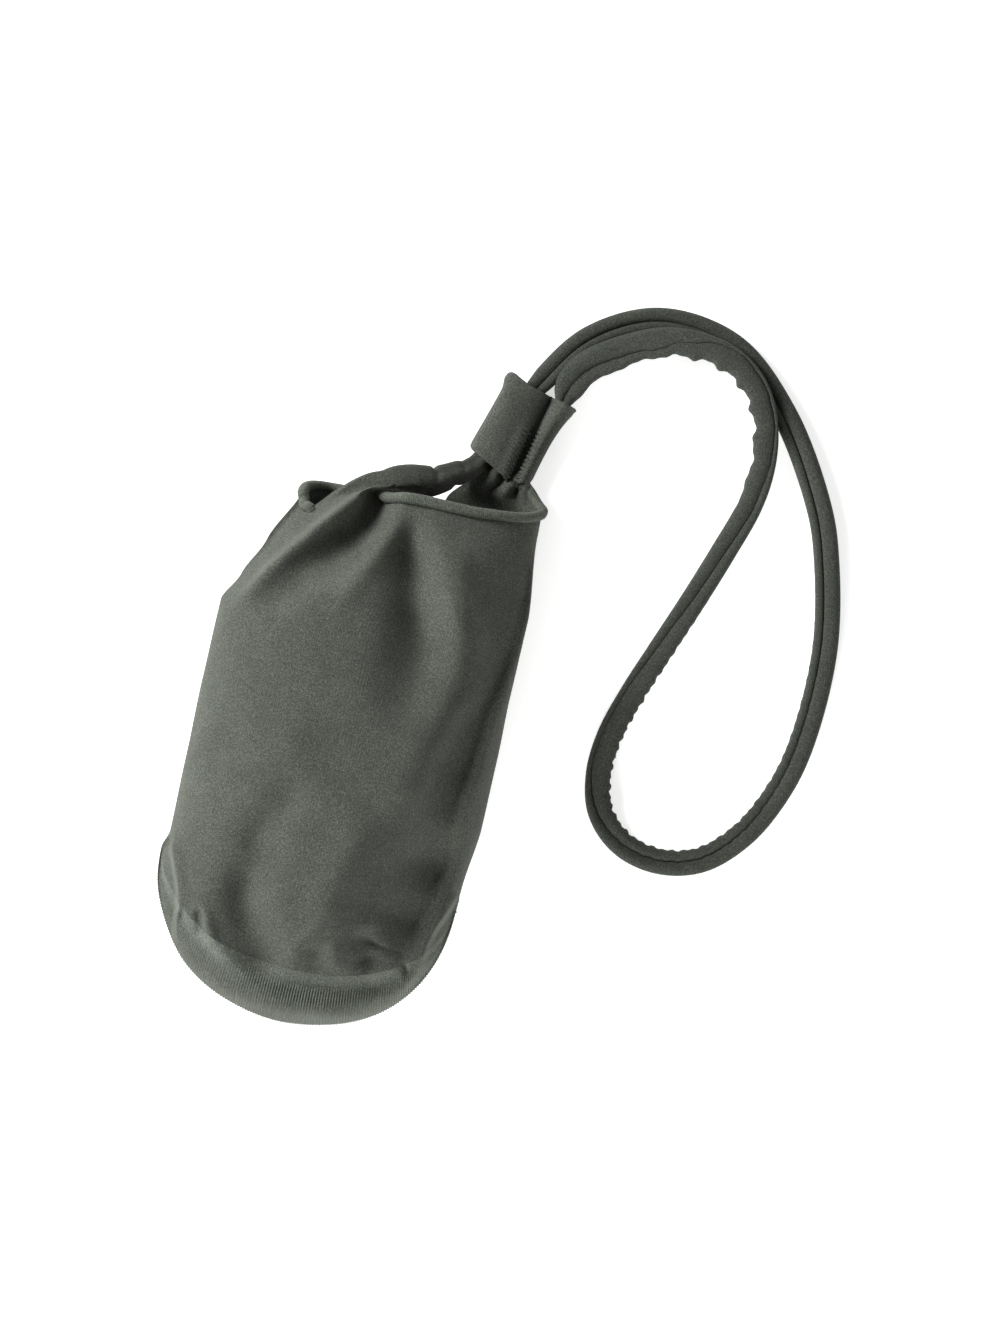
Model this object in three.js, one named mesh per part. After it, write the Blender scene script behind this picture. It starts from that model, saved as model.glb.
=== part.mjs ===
// A soft knitted drawstring bag, lying on its back wall. The knitted tube of the body ends in a
// round ribbed base. At the mouth its front and back panels narrow into two strap roots, the strap
// loops from one root to the other, and a knitted sleeve slides along both strands to close the mouth.
//
// Millimetres. +Y runs from the base to the mouth, +X to the right and +Z up from the table. The
// origin lies on the underside of the back wall, below the centre of the round base.

import * as THREE from "three";
import { mergeVertices } from "three/addons/utils/BufferGeometryUtils.js";

// Driving dimensions of the body
const bodyRadius = 105; // half the width of the knitted tube, and the radius of its round base
const bodyLength = 275; // from the centre of the base circle to the front rim
const baseDepth = 100; // from the centre of the base circle to the bottom
const bodyHeight = 116; // how far the belly of the bag stands up from the table
const wallThickness = 2.4; // stretch knit, two layers
const seamGap = 0.3; // between neighbouring pieces
const bodySides = 48; // faces round the body

// Driving dimensions of the rim bindings
const bindingRadius = 3.2;
const bindingGap = 0.6; // from the wall's faceted edge
const bindingSides = 8;

// Driving dimensions of the sleeve
const sleeveLength = 62;
const sleeveX = 51.4; // middle of the wide channel's lower end
const sleeveReach = 34; // from the front rim to the same point
const sleeveTurn = 78; // degrees from +X to the sleeve's axis
const sleeveWall = 1.8;
const wideChannelWidth = 35;
const wideChannelHeight = 20;
const narrowChannelWidth = 14.5;
const narrowChannelHeight = 17;
const sleeveGrooveHeight = 11; // the stitched line between the channels
const sleeveFlare = 5; // how far the narrow channel's upper end spreads
const lowerEndShare = 0.26; // slant of the lower end, as a share of the distance across
const lowerSpreadShare = 0.12; // how much wider the wide channel is at its lower end

// Driving dimensions of the strap: two rolls side by side, sewn along the middle
const strapWidth = 18;
const strapThickness = 11;
const strapSides = 10;
const strapSteps = 80;
const rootSides = 14;

// The strap's centre line, chosen by hand, from the front root through the wide channel, round the
// loop and back through the narrow channel to the back root. Each y is counted from the front rim.
const strapRoute = [
  [43.4, 34.0, 8.6],
  [52.8, 56.0, 8.6],
  [62.4, 78.0, 8.6],
  [71.4, 98.3, 8.2],
  [97.8, 137.6, 6.2],
  [143.0, 162.3, 6.0],
  [197.0, 157.0, 6.0],
  [244.0, 119.0, 6.0],
  [283.0, 62.0, 6.0],
  [296.5, 29.5, 6.0],
  [311.5, -35.0, 6.0],
  [311.0, -107.5, 6.0],
  [302.0, -144.5, 6.0],
  [286.0, -176.3, 6.0],
  [262.0, -199.8, 6.0],
  [233.8, -207.6, 6.0],
  [205.8, -201.8, 6.0],
  [186.0, -184.0, 6.0],
  [178.0, -158.6, 6.0],
  [179.0, -130.4, 6.0],
  [187.2, -98.6, 6.0],
  [199.8, -61.7, 6.0],
  [212.8, -24.5, 6.0],
  [225.6, 15.2, 6.2],
  [235.8, 50.5, 8.0],
  [238.2, 78.5, 11.0],
  [234.6, 103.6, 13.6],
  [225.4, 124.2, 14.4],
  [210.5, 139.5, 14.4],
  [191.0, 148.2, 14.4],
  [167.0, 149.6, 14.4],
  [140.5, 142.5, 14.4],
  [101.0, 115.0, 10.8],
  [91.6, 94.5, 8.8],
  [87.2, 78.0, 8.5],
  [83.1, 62.0, 8.5],
  [75.8, 29.5, 8.5],
  [74.3, 23.0, 8.5],
];

// Shares of the strap's width and thickness along its length: slimmer inside the sleeve.
const strapWidthShares = [
  [0, 0.72], [0.05, 0.74], [0.09, 0.95], [0.13, 1], [0.76, 1], [0.8, 0.88], [0.84, 0.88], [0.87, 1],
  [0.92, 0.88], [0.94, 0.55], [1, 0.53],
];
const strapThicknessShares = [[0, 1], [0.92, 1], [0.945, 1.04], [1, 1.04]];

// The body's left and right sides and its height at places along bodyLength, as shares of
// bodyRadius and bodyHeight. The left shoulder is drawn in where the front panel gathers.
const leftSideShares = [
  [0, 0.965], [0.233, 0.985], [0.415, 1.005], [0.63, 1.018], [0.7, 0.93], [0.8, 0.825], [0.942, 0.675],
  [1.04, 0.59],
];
const rightSideShares = [
  [0, 0.985], [0.073, 0.99], [0.215, 1.022], [0.4, 1.012], [0.553, 0.995], [0.762, 0.988], [0.965, 0.915],
  [1.04, 0.905],
];
const heightShares = [[0, 1], [0.25, 1], [0.5, 0.93], [0.7, 0.82], [0.85, 0.66], [1, 0.52], [1.04, 0.47]];

// Round the rim, from the right side over the front: how far the rim reaches, as shares of bodyLength.
const rimReachShares = [
  [0, 1.033], [45, 1.008], [90, 1], [110, 0.99], [128, 0.96], [152, 0.918], [180, 0.925], [215, 0.936],
  [245, 0.965], [270, 0.995], [300, 1.018], [325, 1.022], [360, 1.033],
];

const spineShare = 0.42; // height of the widest line, as a share of the local height
const sagShare = 0.52; // how deep the back wall would hang without the table
const squareShare = 0.86; // below 1 the section is squarer than an ellipse
const domeShare = 0.89; // the same for the outline of the base
const liftShare = 0.4; // how upright the base's end wall stands: lower is steeper

// The main folds of the front, from the mouth towards the base. Each has its line, as shares of
// bodyRadius and bodyLength, and then from its start to its end its heights as shares of
// bodyHeight, negative for a valley, and its widths to the left and right of the line as shares
// of bodyRadius.
const foldShares = [
  {
    line: [[-0.25, 0.9], [-0.38, 0.79], [-0.53, 0.705], [-0.67, 0.64], [-0.76, 0.6]],
    height: [0, -0.125, -0.085, -0.04, 0],
    left: [0.1, 0.1],
    right: [0.15, 0.12],
  },
  {
    line: [[0.1, 0.89], [0.23, 0.77], [0.31, 0.68], [0.36, 0.6], [0.34, 0.52], [0.28, 0.42]],
    height: [0, -0.08, -0.085, -0.07, -0.04, 0],
    left: [0.1, 0.12],
    right: [0.18, 0.25],
  },
  {
    line: [[0.86, 0.88], [0.87, 0.72], [0.87, 0.6], [0.87, 0.5], [0.84, 0.36], [0.78, 0.24], [0.75, 0.12]],
    height: [0, -0.075, -0.08, -0.08, -0.08, -0.06, 0],
    left: [0.09, 0.1],
    right: [0.24, 0.22],
  },
  {
    line: [[0.82, 0.14], [0.8, 0.05], [0.77, -0.05], [0.7, -0.13]],
    height: [0, -0.07, -0.08, 0],
    left: [0.1, 0.1],
    right: [0.3, 0.27],
  },
  {
    line: [[-0.28, 0.04], [-0.35, -0.06], [-0.34, -0.13], [-0.25, -0.19], [-0.06, -0.235]],
    height: [0, -0.08, -0.09, -0.06, 0],
    left: [0.11, 0.11],
    right: [0.13, 0.13],
  },
];

// The front panel's lower edge stands proud of the base: its line, and how far the base drops
// beyond it, as a share of bodyHeight, over a width that is a share of bodyRadius.
const hemLineShares = [
  [-0.92, 0.03], [-0.8, -0.08], [-0.75, -0.19], [-0.6, -0.275], [-0.36, -0.3], [0.03, -0.313],
  [0.48, -0.298], [0.69, -0.25], [0.85, -0.145], [0.86, -0.09], [0.95, 0.03],
];
const hemDropShare = 0.09;
const hemWidthShare = 0.08;
const hemEndShare = 0.1; // of the line's length, over which it starts and ends
const shoulderDropShare = 0.09; // left of the gathered shoulder the side wall lies lower
const shoulderLineShares = [
  [-0.93, 0.56], [-0.87, 0.63], [-0.8, 0.69], [-0.7, 0.755], [-0.57, 0.82], [-0.45, 0.89], [-0.27, 0.97],
];
const fadeShare = 0.17; // folds fade out this far above the widest line, as a share of bodyHeight

// Where the base's seam runs, as shares of the way from the base's pole (0) past the widest ring (1)
// to the rim (2): the seam lies low on the front and high on the back.
const seamFrontShare = 0.62;
const seamSideShare = 1.035;
const seamBackShare = 1.27;

// Strap roots: for each ring, shares of the root's run along and beside it, of its drop, of the ring's
// half-width and half-thickness, and the turn in degrees of its width.
const frontRootWidth = 25;
const frontRootThickness = 12;
const frontRootShares = [
  [0, 0, 0, 1, 0.42, 21],
  [0.1, 0.015, 0.05, 0.86, 0.72, 12],
  [0.25, 0.005, 0.17, 0.84, 0.95, -34],
  [0.458, -0.03, 0.36, 0.84, 1.05, -60],
  [0.689, -0.06, 0.62, 0.78, 1.05, -60],
  [0.9, -0.04, 0.88, 0.64, 1, -50],
];
const backRootWidth = 64;
const backRootThickness = 11;
const backRootShares = [
  [0, 0, 0, 1, 0.42, 3],
  [0.215, 0.15, 0.22, 0.86, 0.6, 2],
  [0.49, 0.33, 0.5, 0.62, 0.85, -6],
  [0.69, 0.5, 0.8, 0.41, 1, -22],
];
const frontRootRimDegrees = 127; // the middle of the front root, round the rim
const backRootRimDegrees = 300;
const frontRootReach = 1.2; // how far each root starts beyond the rim
const backRootReach = 2.2;

function lookUp(shares, place) {
  if (place <= shares[0][0]) {
    return shares[0][1];
  }
  for (let i = 1; i < shares.length; i += 1) {
    const [before, valueBefore] = shares[i - 1];
    const [after, valueAfter] = shares[i];
    if (place <= after) {
      const way = (place - before) / (after - before);
      const eased = way * way * (3 - 2 * way);
      return valueBefore + (valueAfter - valueBefore) * (0.5 * way + 0.5 * eased);
    }
  }
  return shares[shares.length - 1][1];
}

// Signed distance from a line of shares, positive to its left, and the way along it from 0 to 1
function fromLine(line, x, y) {
  let best = { distance: Infinity, side: 1, way: 0 };
  for (let i = 1; i < line.length; i += 1) {
    const [startX, startY] = [line[i - 1][0] * bodyRadius, line[i - 1][1] * bodyLength];
    const [stepX, stepY] = [line[i][0] * bodyRadius - startX, line[i][1] * bodyLength - startY];
    const along = ((x - startX) * stepX + (y - startY) * stepY) / (stepX * stepX + stepY * stepY);
    const part = Math.min(Math.max(along, 0), 1);
    const [gapX, gapY] = [x - startX - part * stepX, y - startY - part * stepY];
    const distance = Math.hypot(gapX, gapY);
    if (distance < best.distance) {
      const side = Math.sign(stepX * gapY - stepY * gapX) || 1;
      best = { distance, side, way: (i - 1 + part) / (line.length - 1) };
    }
  }
  return best;
}

function evenTable(values) {
  return values.map((value, k) => [k / (values.length - 1), value]);
}

// How far the folds, the proud lower edge and the gathered shoulder move the front up or down
function foldRise(x, y) {
  let rise = 0;
  for (const { line, height, left, right } of foldShares) {
    const { distance, side, way } = fromLine(line, x, y);
    const width = bodyRadius * lookUp(evenTable(side > 0 ? left : right), way);
    rise += bodyHeight * lookUp(evenTable(height), way) * Math.exp(-((distance / width) ** 2));
  }
  const hem = fromLine(hemLineShares, x, y);
  const besideHem = hem.side < 0 && hem.way > 0 && hem.way < 1;
  const pastHem = besideHem ? hem.distance / (bodyRadius * hemWidthShare) : 0;
  const hemEnds = THREE.MathUtils.smoothstep(Math.min(hem.way, 1 - hem.way), 0, hemEndShare);
  rise -= bodyHeight * hemDropShare * hemEnds * THREE.MathUtils.smoothstep(pastHem, 0, 1);
  const shoulder = fromLine(shoulderLineShares, x, y);
  const pastShoulder = shoulder.side > 0 ? shoulder.distance / (bodyRadius * hemWidthShare) : 0;
  const shoulderStart = THREE.MathUtils.smoothstep(shoulder.way, 0, 0.5);
  rise -= bodyHeight * shoulderDropShare * shoulderStart * THREE.MathUtils.smoothstep(pastShoulder, 0, 1);
  return rise;
}

// One closed body with its faces out: shared vertices merged, empty triangles dropped.
function closedBody(geometry) {
  geometry.deleteAttribute("normal");
  geometry.deleteAttribute("uv");
  const merged = mergeVertices(geometry, 1e-3);
  const index = merged.getIndex().array;
  const position = merged.getAttribute("position");
  const corner = [new THREE.Vector3(), new THREE.Vector3(), new THREE.Vector3()];
  const kept = [];
  let volume = 0;
  for (let i = 0; i < index.length; i += 3) {
    const triangle = [index[i], index[i + 1], index[i + 2]];
    if (new Set(triangle).size === 3) {
      triangle.forEach((vertex, k) => corner[k].fromBufferAttribute(position, vertex));
      volume += corner[0].dot(corner[1].clone().cross(corner[2]));
      kept.push(triangle);
    }
  }
  merged.setIndex(kept.flatMap((t) => (volume > 0 ? t : [t[0], t[2], t[1]])));
  merged.computeVertexNormals();
  return merged;
}

// A point on the knitted body: way runs from the base's pole (0) past its widest ring (1) to the
// rim (2), turn goes round it in degrees from the right side over the front, inset goes into the wall.
function bodyPoint(way, turn, inset) {
  const angle = THREE.MathUtils.degToRad(turn);
  const dome = Math.min(way, 1) * Math.PI * 0.5;
  const reach = bodyLength * lookUp(rimReachShares, turn);
  const ring = Math.sin(dome) ** domeShare;
  const y = way < 1 ? -(baseDepth - inset) * Math.cos(dome) ** domeShare : (way - 1) * reach;
  const left = bodyRadius * lookUp(leftSideShares, y / bodyLength);
  const right = bodyRadius * lookUp(rightSideShares, y / bodyLength);
  const height = bodyHeight * lookUp(heightShares, y / bodyLength);
  const across = Math.sign(Math.cos(angle)) * Math.abs(Math.cos(angle)) ** squareShare;
  const upward = Math.sign(Math.sin(angle)) * Math.abs(Math.sin(angle)) ** squareShare;
  const side = (left + right) / 2;
  const middle = (right - left) / 2;
  const lift = upward * Math.sin(dome) ** liftShare;
  const rise = height * (upward > 0 ? 1 - spineShare : sagShare);
  const aboveShare = (rise * lift) / (bodyHeight * fadeShare);
  const fold = foldRise(middle + side * across * ring, y) * THREE.MathUtils.smoothstep(aboveShare, 0, 1);
  const z = height * spineShare + (rise - inset) * lift + fold;
  return new THREE.Vector3(middle + (side - inset) * across * ring, y, Math.max(z, inset));
}

function seamWay(turn) {
  const upward = Math.sin(THREE.MathUtils.degToRad(turn));
  const middleShare = upward > 0 ? seamFrontShare : seamBackShare;
  return seamSideShare + (middleShare - seamSideShare) * Math.abs(upward);
}

// A knitted shell: a lathed profile whose points are then laid on the body's inner and outer faces.
function knittedShell(stations, placeOf) {
  const profile = stations.map(
    ([share, inset]) => new THREE.Vector2(share * (bodyRadius - inset), share * bodyLength),
  );
  const geometry = new THREE.LatheGeometry(profile, bodySides);
  const position = geometry.getAttribute("position");
  for (let side = 0; side <= bodySides; side += 1) {
    const turn = side === bodySides ? 0 : (360 * side) / bodySides;
    stations.forEach(([share, inset], k) => {
      const point = bodyPoint(placeOf(share, turn), turn, inset);
      position.setXYZ(side * stations.length + k, point.x, point.y, point.z);
    });
  }
  return closedBody(geometry);
}

function evenShares(count) {
  return Array.from({ length: count + 1 }, (_, k) => k / count);
}

// Rows from the pole to the seam and back on the inside
function basePanel() {
  const rows = evenShares(9);
  const outer = rows.map((share) => [share, 0]);
  const inner = rows.map((share) => [share, wallThickness]).reverse();
  return knittedShell([...outer, ...inner], (share, turn) => share * seamWay(turn));
}

// Rows from the seam to the rim and back on the inside, closed on themselves
function bodyWall() {
  const rows = evenShares(15);
  const outer = rows.map((share) => [share, 0]);
  const inner = rows.map((share) => [share, wallThickness]).reverse();
  const gapShare = seamGap / bodyRadius;
  const placeOf = (share, turn) => {
    const start = seamWay(turn) + gapShare;
    return start + share * (2 - start);
  };
  return knittedShell([...outer, ...inner, outer[0]], placeOf);
}

// A solid through a row of rings. Each ring has its centre, its half-width and its half-thickness.
function loft(rings, sides) {
  const geometry = new THREE.CylinderGeometry(1, 1, 1, sides, rings.length - 1);
  const position = geometry.getAttribute("position");
  for (let i = 0; i < position.count; i += 1) {
    const ring = rings[Math.round((0.5 - position.getY(i)) * (rings.length - 1))];
    const point = ring.centre.clone();
    point.addScaledVector(ring.width, position.getX(i));
    point.addScaledVector(ring.thickness, position.getZ(i));
    position.setXYZ(i, point.x, point.y, point.z);
  }
  return closedBody(geometry);
}

const up = new THREE.Vector3(0, 0, 1);
const strapCurve = new THREE.CatmullRomCurve3(
  strapRoute.map(([x, y, z]) => new THREE.Vector3(x, bodyLength + y, z)),
  false,
  "centripetal",
);

function strapRing(share) {
  const centre = strapCurve.getPointAt(share);
  const ahead = strapCurve.getTangentAt(share);
  const width = ahead.clone().cross(up).normalize();
  const thickness = width.clone().cross(ahead).normalize();
  width.multiplyScalar((strapWidth / 2) * lookUp(strapWidthShares, share));
  thickness.multiplyScalar((strapThickness / 2) * lookUp(strapThicknessShares, share));
  return { centre, ahead, width, thickness };
}

function strapLoop() {
  return loft(evenShares(strapSteps).map(strapRing), strapSides);
}

// A root from a place on the rim to one end of the strap, whose last ring faces the strap's own
function strapRoot(start, last, rootWidth, rootThickness, shares) {
  const along = new THREE.Vector3(last.centre.x - start.x, last.centre.y - start.y, 0);
  const beside = new THREE.Vector3(-along.y, along.x, 0);
  const rings = shares.map(([alongShare, besideShare, dropShare, widthShare, thicknessShare, turn]) => {
    const centre = start.clone().addScaledVector(along, alongShare).addScaledVector(beside, besideShare);
    centre.z += (last.centre.z - start.z) * dropShare;
    const width = new THREE.Vector3(rootWidth / 2, 0, 0).applyAxisAngle(up, THREE.MathUtils.degToRad(turn));
    return {
      centre,
      width: width.multiplyScalar(widthShare),
      thickness: up.clone().multiplyScalar((rootThickness / 2) * thicknessShare),
    };
  });
  return loft([...rings, last], rootSides);
}

function frontStrapRoot() {
  const start = bodyPoint(2, frontRootRimDegrees, wallThickness / 2);
  start.y += frontRootReach;
  const last = strapRing(0);
  last.centre.addScaledVector(last.ahead, -seamGap);
  return strapRoot(start, last, frontRootWidth, frontRootThickness, frontRootShares);
}

function backStrapRoot() {
  const rim = bodyPoint(2, backRootRimDegrees, 0);
  const startHeight = (backRootThickness * backRootShares[0][4]) / 2 + seamGap;
  const start = new THREE.Vector3(rim.x, rim.y + backRootReach, startHeight);
  const last = strapRing(1);
  last.centre.addScaledVector(last.ahead, seamGap);
  last.width.negate();
  return strapRoot(start, last, backRootWidth, backRootThickness, backRootShares);
}

// A rolled binding along the rim, from one place round it to another, set just beyond the wall's edge
function rimBinding(fromDegrees, toDegrees) {
  const points = evenShares(18).map((share) => {
    const turn = fromDegrees + (toDegrees - fromDegrees) * share;
    const place = (way, degrees) => bodyPoint(way, (degrees + 360) % 360, wallThickness / 2);
    const point = place(2, turn);
    const along = place(2, turn + 1).sub(place(2, turn - 1)).normalize();
    const beyond = point.clone().sub(place(1.98, turn));
    beyond.addScaledVector(along, -beyond.dot(along)).normalize();
    point.addScaledVector(beyond, bindingRadius + bindingGap);
    point.z = Math.max(point.z, bindingRadius + seamGap);
    return point;
  });
  const curve = new THREE.CatmullRomCurve3(points, false, "centripetal");
  const section = new THREE.Shape();
  section.absarc(0, 0, bindingRadius, 0, 2 * Math.PI, false);
  const geometry = new THREE.ExtrudeGeometry(section, {
    steps: 36,
    extrudePath: curve,
    bevelEnabled: false,
    curveSegments: bindingSides / 2,
  });
  return closedBody(geometry);
}

// The sleeve: a wide and a narrow channel side by side, parted by a stitched line
function keeperSleeve() {
  const groove = wideChannelWidth / 2;
  const farSide = groove + narrowChannelWidth;
  const cornerWidth = wideChannelWidth / 4;
  const outline = new THREE.Shape();
  outline.moveTo(-groove + cornerWidth, 0);
  outline.lineTo(farSide - narrowChannelWidth / 3, 0);
  outline.quadraticCurveTo(farSide, 0, farSide, narrowChannelHeight / 2);
  const lobeTop = groove + narrowChannelWidth / 2;
  outline.quadraticCurveTo(farSide, narrowChannelHeight, lobeTop, narrowChannelHeight);
  outline.quadraticCurveTo(groove + sleeveWall, narrowChannelHeight, groove, sleeveGrooveHeight);
  outline.quadraticCurveTo(groove, wideChannelHeight, groove - cornerWidth, wideChannelHeight);
  outline.lineTo(-groove + cornerWidth, wideChannelHeight);
  outline.quadraticCurveTo(-groove, wideChannelHeight, -groove, wideChannelHeight / 2);
  outline.quadraticCurveTo(-groove, 0, -groove + cornerWidth, 0);
  const wideBore = new THREE.Path();
  const boreCorner = cornerWidth - sleeveWall;
  const boreLeft = -groove + sleeveWall;
  const boreRight = groove - sleeveWall;
  const boreTop = wideChannelHeight - sleeveWall;
  wideBore.moveTo(boreLeft + boreCorner, sleeveWall);
  wideBore.lineTo(boreRight - boreCorner, sleeveWall);
  wideBore.quadraticCurveTo(boreRight, sleeveWall, boreRight, wideChannelHeight / 2);
  wideBore.quadraticCurveTo(boreRight, boreTop, boreRight - boreCorner, boreTop);
  wideBore.lineTo(boreLeft + boreCorner, boreTop);
  wideBore.quadraticCurveTo(boreLeft, boreTop, boreLeft, wideChannelHeight / 2);
  wideBore.quadraticCurveTo(boreLeft, sleeveWall, boreLeft + boreCorner, sleeveWall);
  const narrowBore = new THREE.Path();
  narrowBore.absellipse(
    groove + narrowChannelWidth / 2,
    narrowChannelHeight / 2,
    narrowChannelWidth / 2 - sleeveWall,
    narrowChannelHeight / 2 - sleeveWall,
    0,
    2 * Math.PI,
    false,
    0,
  );
  outline.holes.push(wideBore, narrowBore);
  const geometry = new THREE.ExtrudeGeometry(outline, {
    depth: 1,
    steps: 6,
    bevelEnabled: false,
    curveSegments: 5,
  });
  const turn = THREE.MathUtils.degToRad(sleeveTurn);
  const ahead = new THREE.Vector3(Math.cos(turn), Math.sin(turn), 0);
  const right = new THREE.Vector3(Math.sin(turn), -Math.cos(turn), 0);
  const position = geometry.getAttribute("position");
  for (let i = 0; i < position.count; i += 1) {
    const way = position.getZ(i);
    const beyond = Math.max(position.getX(i) - groove, 0);
    const spread = lowerSpreadShare * (1 - 2 * way) * Math.min(position.getX(i), 0);
    const across = position.getX(i) + spread + sleeveFlare * (beyond / narrowChannelWidth) * way ** 3;
    const slant = lowerEndShare * (beyond - Math.min(position.getX(i), groove)) * (1 - way);
    const point = new THREE.Vector3(sleeveX, bodyLength + sleeveReach, position.getY(i));
    point.addScaledVector(ahead, sleeveLength * way + slant);
    point.addScaledVector(right, across);
    position.setXYZ(i, point.x, point.y, point.z);
  }
  return closedBody(geometry);
}

const knit = { color: 0x565b53, roughness: 0.95, metalness: 0 };
const part = new THREE.Group();

function addPiece(name, geometry, shade) {
  const color = new THREE.Color(knit.color).multiplyScalar(shade);
  const material = new THREE.MeshStandardMaterial({ ...knit, color });
  const mesh = new THREE.Mesh(geometry, material);
  mesh.name = name;
  part.add(mesh);
}

addPiece("body_wall", bodyWall(), 1);
addPiece("base_panel", basePanel(), 0.85);
addPiece("front_strap_root", frontStrapRoot(), 0.95);
addPiece("back_strap_root", backStrapRoot(), 0.9);
addPiece("left_rim_binding", rimBinding(154, 262), 1.1);
addPiece("right_rim_binding", rimBinding(99, -8), 1.1);
addPiece("keeper_sleeve", keeperSleeve(), 1.05);
addPiece("strap_loop", strapLoop(), 0.92);

export default part;
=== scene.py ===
# %% [markdown]
# # A knitted drawstring bag
# The bag lies on its back wall on a pale table and is seen from straight above. It is knitted in one
# tube of grey-green jersey with a round ribbed base. At the mouth the front and back panels are
# gathered into the two strands of one long strap, and a knitted keeper slides along both strands.
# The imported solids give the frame: every piece below is laid where its solid is, in metres.

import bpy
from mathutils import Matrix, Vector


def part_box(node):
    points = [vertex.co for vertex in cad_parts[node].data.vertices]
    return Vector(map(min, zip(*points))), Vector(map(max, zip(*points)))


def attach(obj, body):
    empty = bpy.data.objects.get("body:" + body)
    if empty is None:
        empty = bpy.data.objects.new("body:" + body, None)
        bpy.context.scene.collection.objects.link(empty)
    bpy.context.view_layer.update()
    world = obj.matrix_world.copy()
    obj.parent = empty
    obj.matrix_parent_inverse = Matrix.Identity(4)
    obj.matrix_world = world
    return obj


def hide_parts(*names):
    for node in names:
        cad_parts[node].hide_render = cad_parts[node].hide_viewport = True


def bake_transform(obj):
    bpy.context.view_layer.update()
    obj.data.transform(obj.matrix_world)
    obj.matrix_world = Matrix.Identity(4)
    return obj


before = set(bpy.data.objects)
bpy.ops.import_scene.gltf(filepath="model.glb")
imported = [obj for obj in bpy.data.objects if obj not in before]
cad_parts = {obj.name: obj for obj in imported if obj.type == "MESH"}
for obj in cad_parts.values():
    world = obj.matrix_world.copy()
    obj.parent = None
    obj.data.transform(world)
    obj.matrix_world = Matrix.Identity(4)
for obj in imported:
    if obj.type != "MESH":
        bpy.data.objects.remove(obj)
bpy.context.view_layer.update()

# %% Units and Blender's own modules
import math

import bmesh
import bpy
import numpy as np
from mathutils import Matrix, Vector

mm = 0.001

# %% [markdown]
# ## The camera
# The photograph was taken from straight above with a long lens, and the bag lies a little turned in
# it. A perspective camera that looks down and is turned by the same angle gives the same frame.

# %% Camera
camera_place = (92.4 * mm, 173.5 * mm, 2600 * mm)
camera_turn = 14  # degrees
camera_lens = 99.5  # mm on a 36 mm sensor

camera_data = bpy.data.cameras.new("camera")
camera_data.lens = camera_lens
camera_data.sensor_width = 36
camera = bpy.data.objects.new("camera", camera_data)
camera.location = camera_place
camera.rotation_euler = (0, 0, math.radians(camera_turn))
bpy.context.scene.collection.objects.link(camera)
bpy.context.scene.camera = camera
print("camera looks down from", camera_place[2], "m")

# %% [markdown]
# ## Helpers for lengths of cloth
# Most of the bag is a tube or a strip that follows a line: the strap, the piping, the keeper and the
# knitted body itself. Each is made in the same way: a ring of points from `create_circle`, or a row
# from a vertex, is extruded again and again, and each new row is moved to its place. The rows are
# worked out from a smooth curve through a few given points.

# %% A smooth curve through points
def smooth_path(points, count, closed=False):
    """Evenly spaced points on the centripetal Catmull-Rom curve through the given ones, and its length."""
    points = np.array(points, float)
    ends = [2 * points[0] - points[1], *points, 2 * points[-1] - points[-2]]
    if closed:
        ends = [points[-1], *points, points[0], points[1]]
    fine = []
    for a, b, c, d in zip(ends, ends[1:], ends[2:], ends[3:]):
        knots = np.cumsum([0] + [np.linalg.norm(q - p) ** 0.5 for p, q in ((a, b), (b, c), (c, d))])
        t = np.linspace(knots[1], knots[2], 24, endpoint=False)[:, None]
        ab, bc, cd = (
            (p * (knots[i + 1] - t) + q * (t - knots[i])) / (knots[i + 1] - knots[i])
            for i, (p, q) in enumerate(((a, b), (b, c), (c, d)))
        )
        abc = (ab * (knots[2] - t) + bc * (t - knots[0])) / (knots[2] - knots[0])
        bcd = (bc * (knots[3] - t) + cd * (t - knots[1])) / (knots[3] - knots[1])
        fine.append((abc * (knots[2] - t) + bcd * (t - knots[1])) / (knots[2] - knots[1]))
    fine = np.vstack([*fine, points[:1] if closed else points[-1:]])
    run = np.concatenate([[0], np.cumsum(np.linalg.norm(np.diff(fine, axis=0), axis=1))])
    even = np.linspace(0, run[-1], count, endpoint=not closed)
    return np.stack([np.interp(even, run, fine[:, k]) for k in range(fine.shape[1])], axis=1), run[-1]


def table_value(table, place):
    """A smooth value between the entries of a table of (place, value)."""
    keys, values = np.array(table, float).T
    place = np.clip(place, keys[0], keys[-1])
    low = np.clip(np.searchsorted(keys, place, side="right") - 1, 0, len(keys) - 2)
    way = (place - keys[low]) / (keys[low + 1] - keys[low])
    eased = way * way * (3 - 2 * way)
    return values[low] + (values[low + 1] - values[low]) * (way + eased) / 2


def ease(value, start, end):
    """0 before start, 1 after end, and a smooth step between them."""
    way = np.clip((value - start) / (end - start), 0, 1)
    return way * way * (3 - 2 * way)


# %% Rows of vertices, extruded one after another
def next_row(bm, row, places, closed):
    """Extrudes a row of vertices and moves the new ones to their places."""
    followers = row[1:] + row[:1] if closed else row[1:]
    edges = [bm.edges.get(pair) for pair in zip(row, followers)]
    made = bmesh.ops.extrude_edge_only(bm, edges=edges)["geom"]
    old = set(row)
    twin = {}
    for vertex in made:
        if isinstance(vertex, bmesh.types.BMVert):
            for edge in vertex.link_edges:
                if edge.other_vert(vertex) in old:
                    twin[edge.other_vert(vertex)] = vertex
    new = [twin[vertex] for vertex in row]
    for vertex, place in zip(new, places):
        vertex.co = place
    return new


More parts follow.
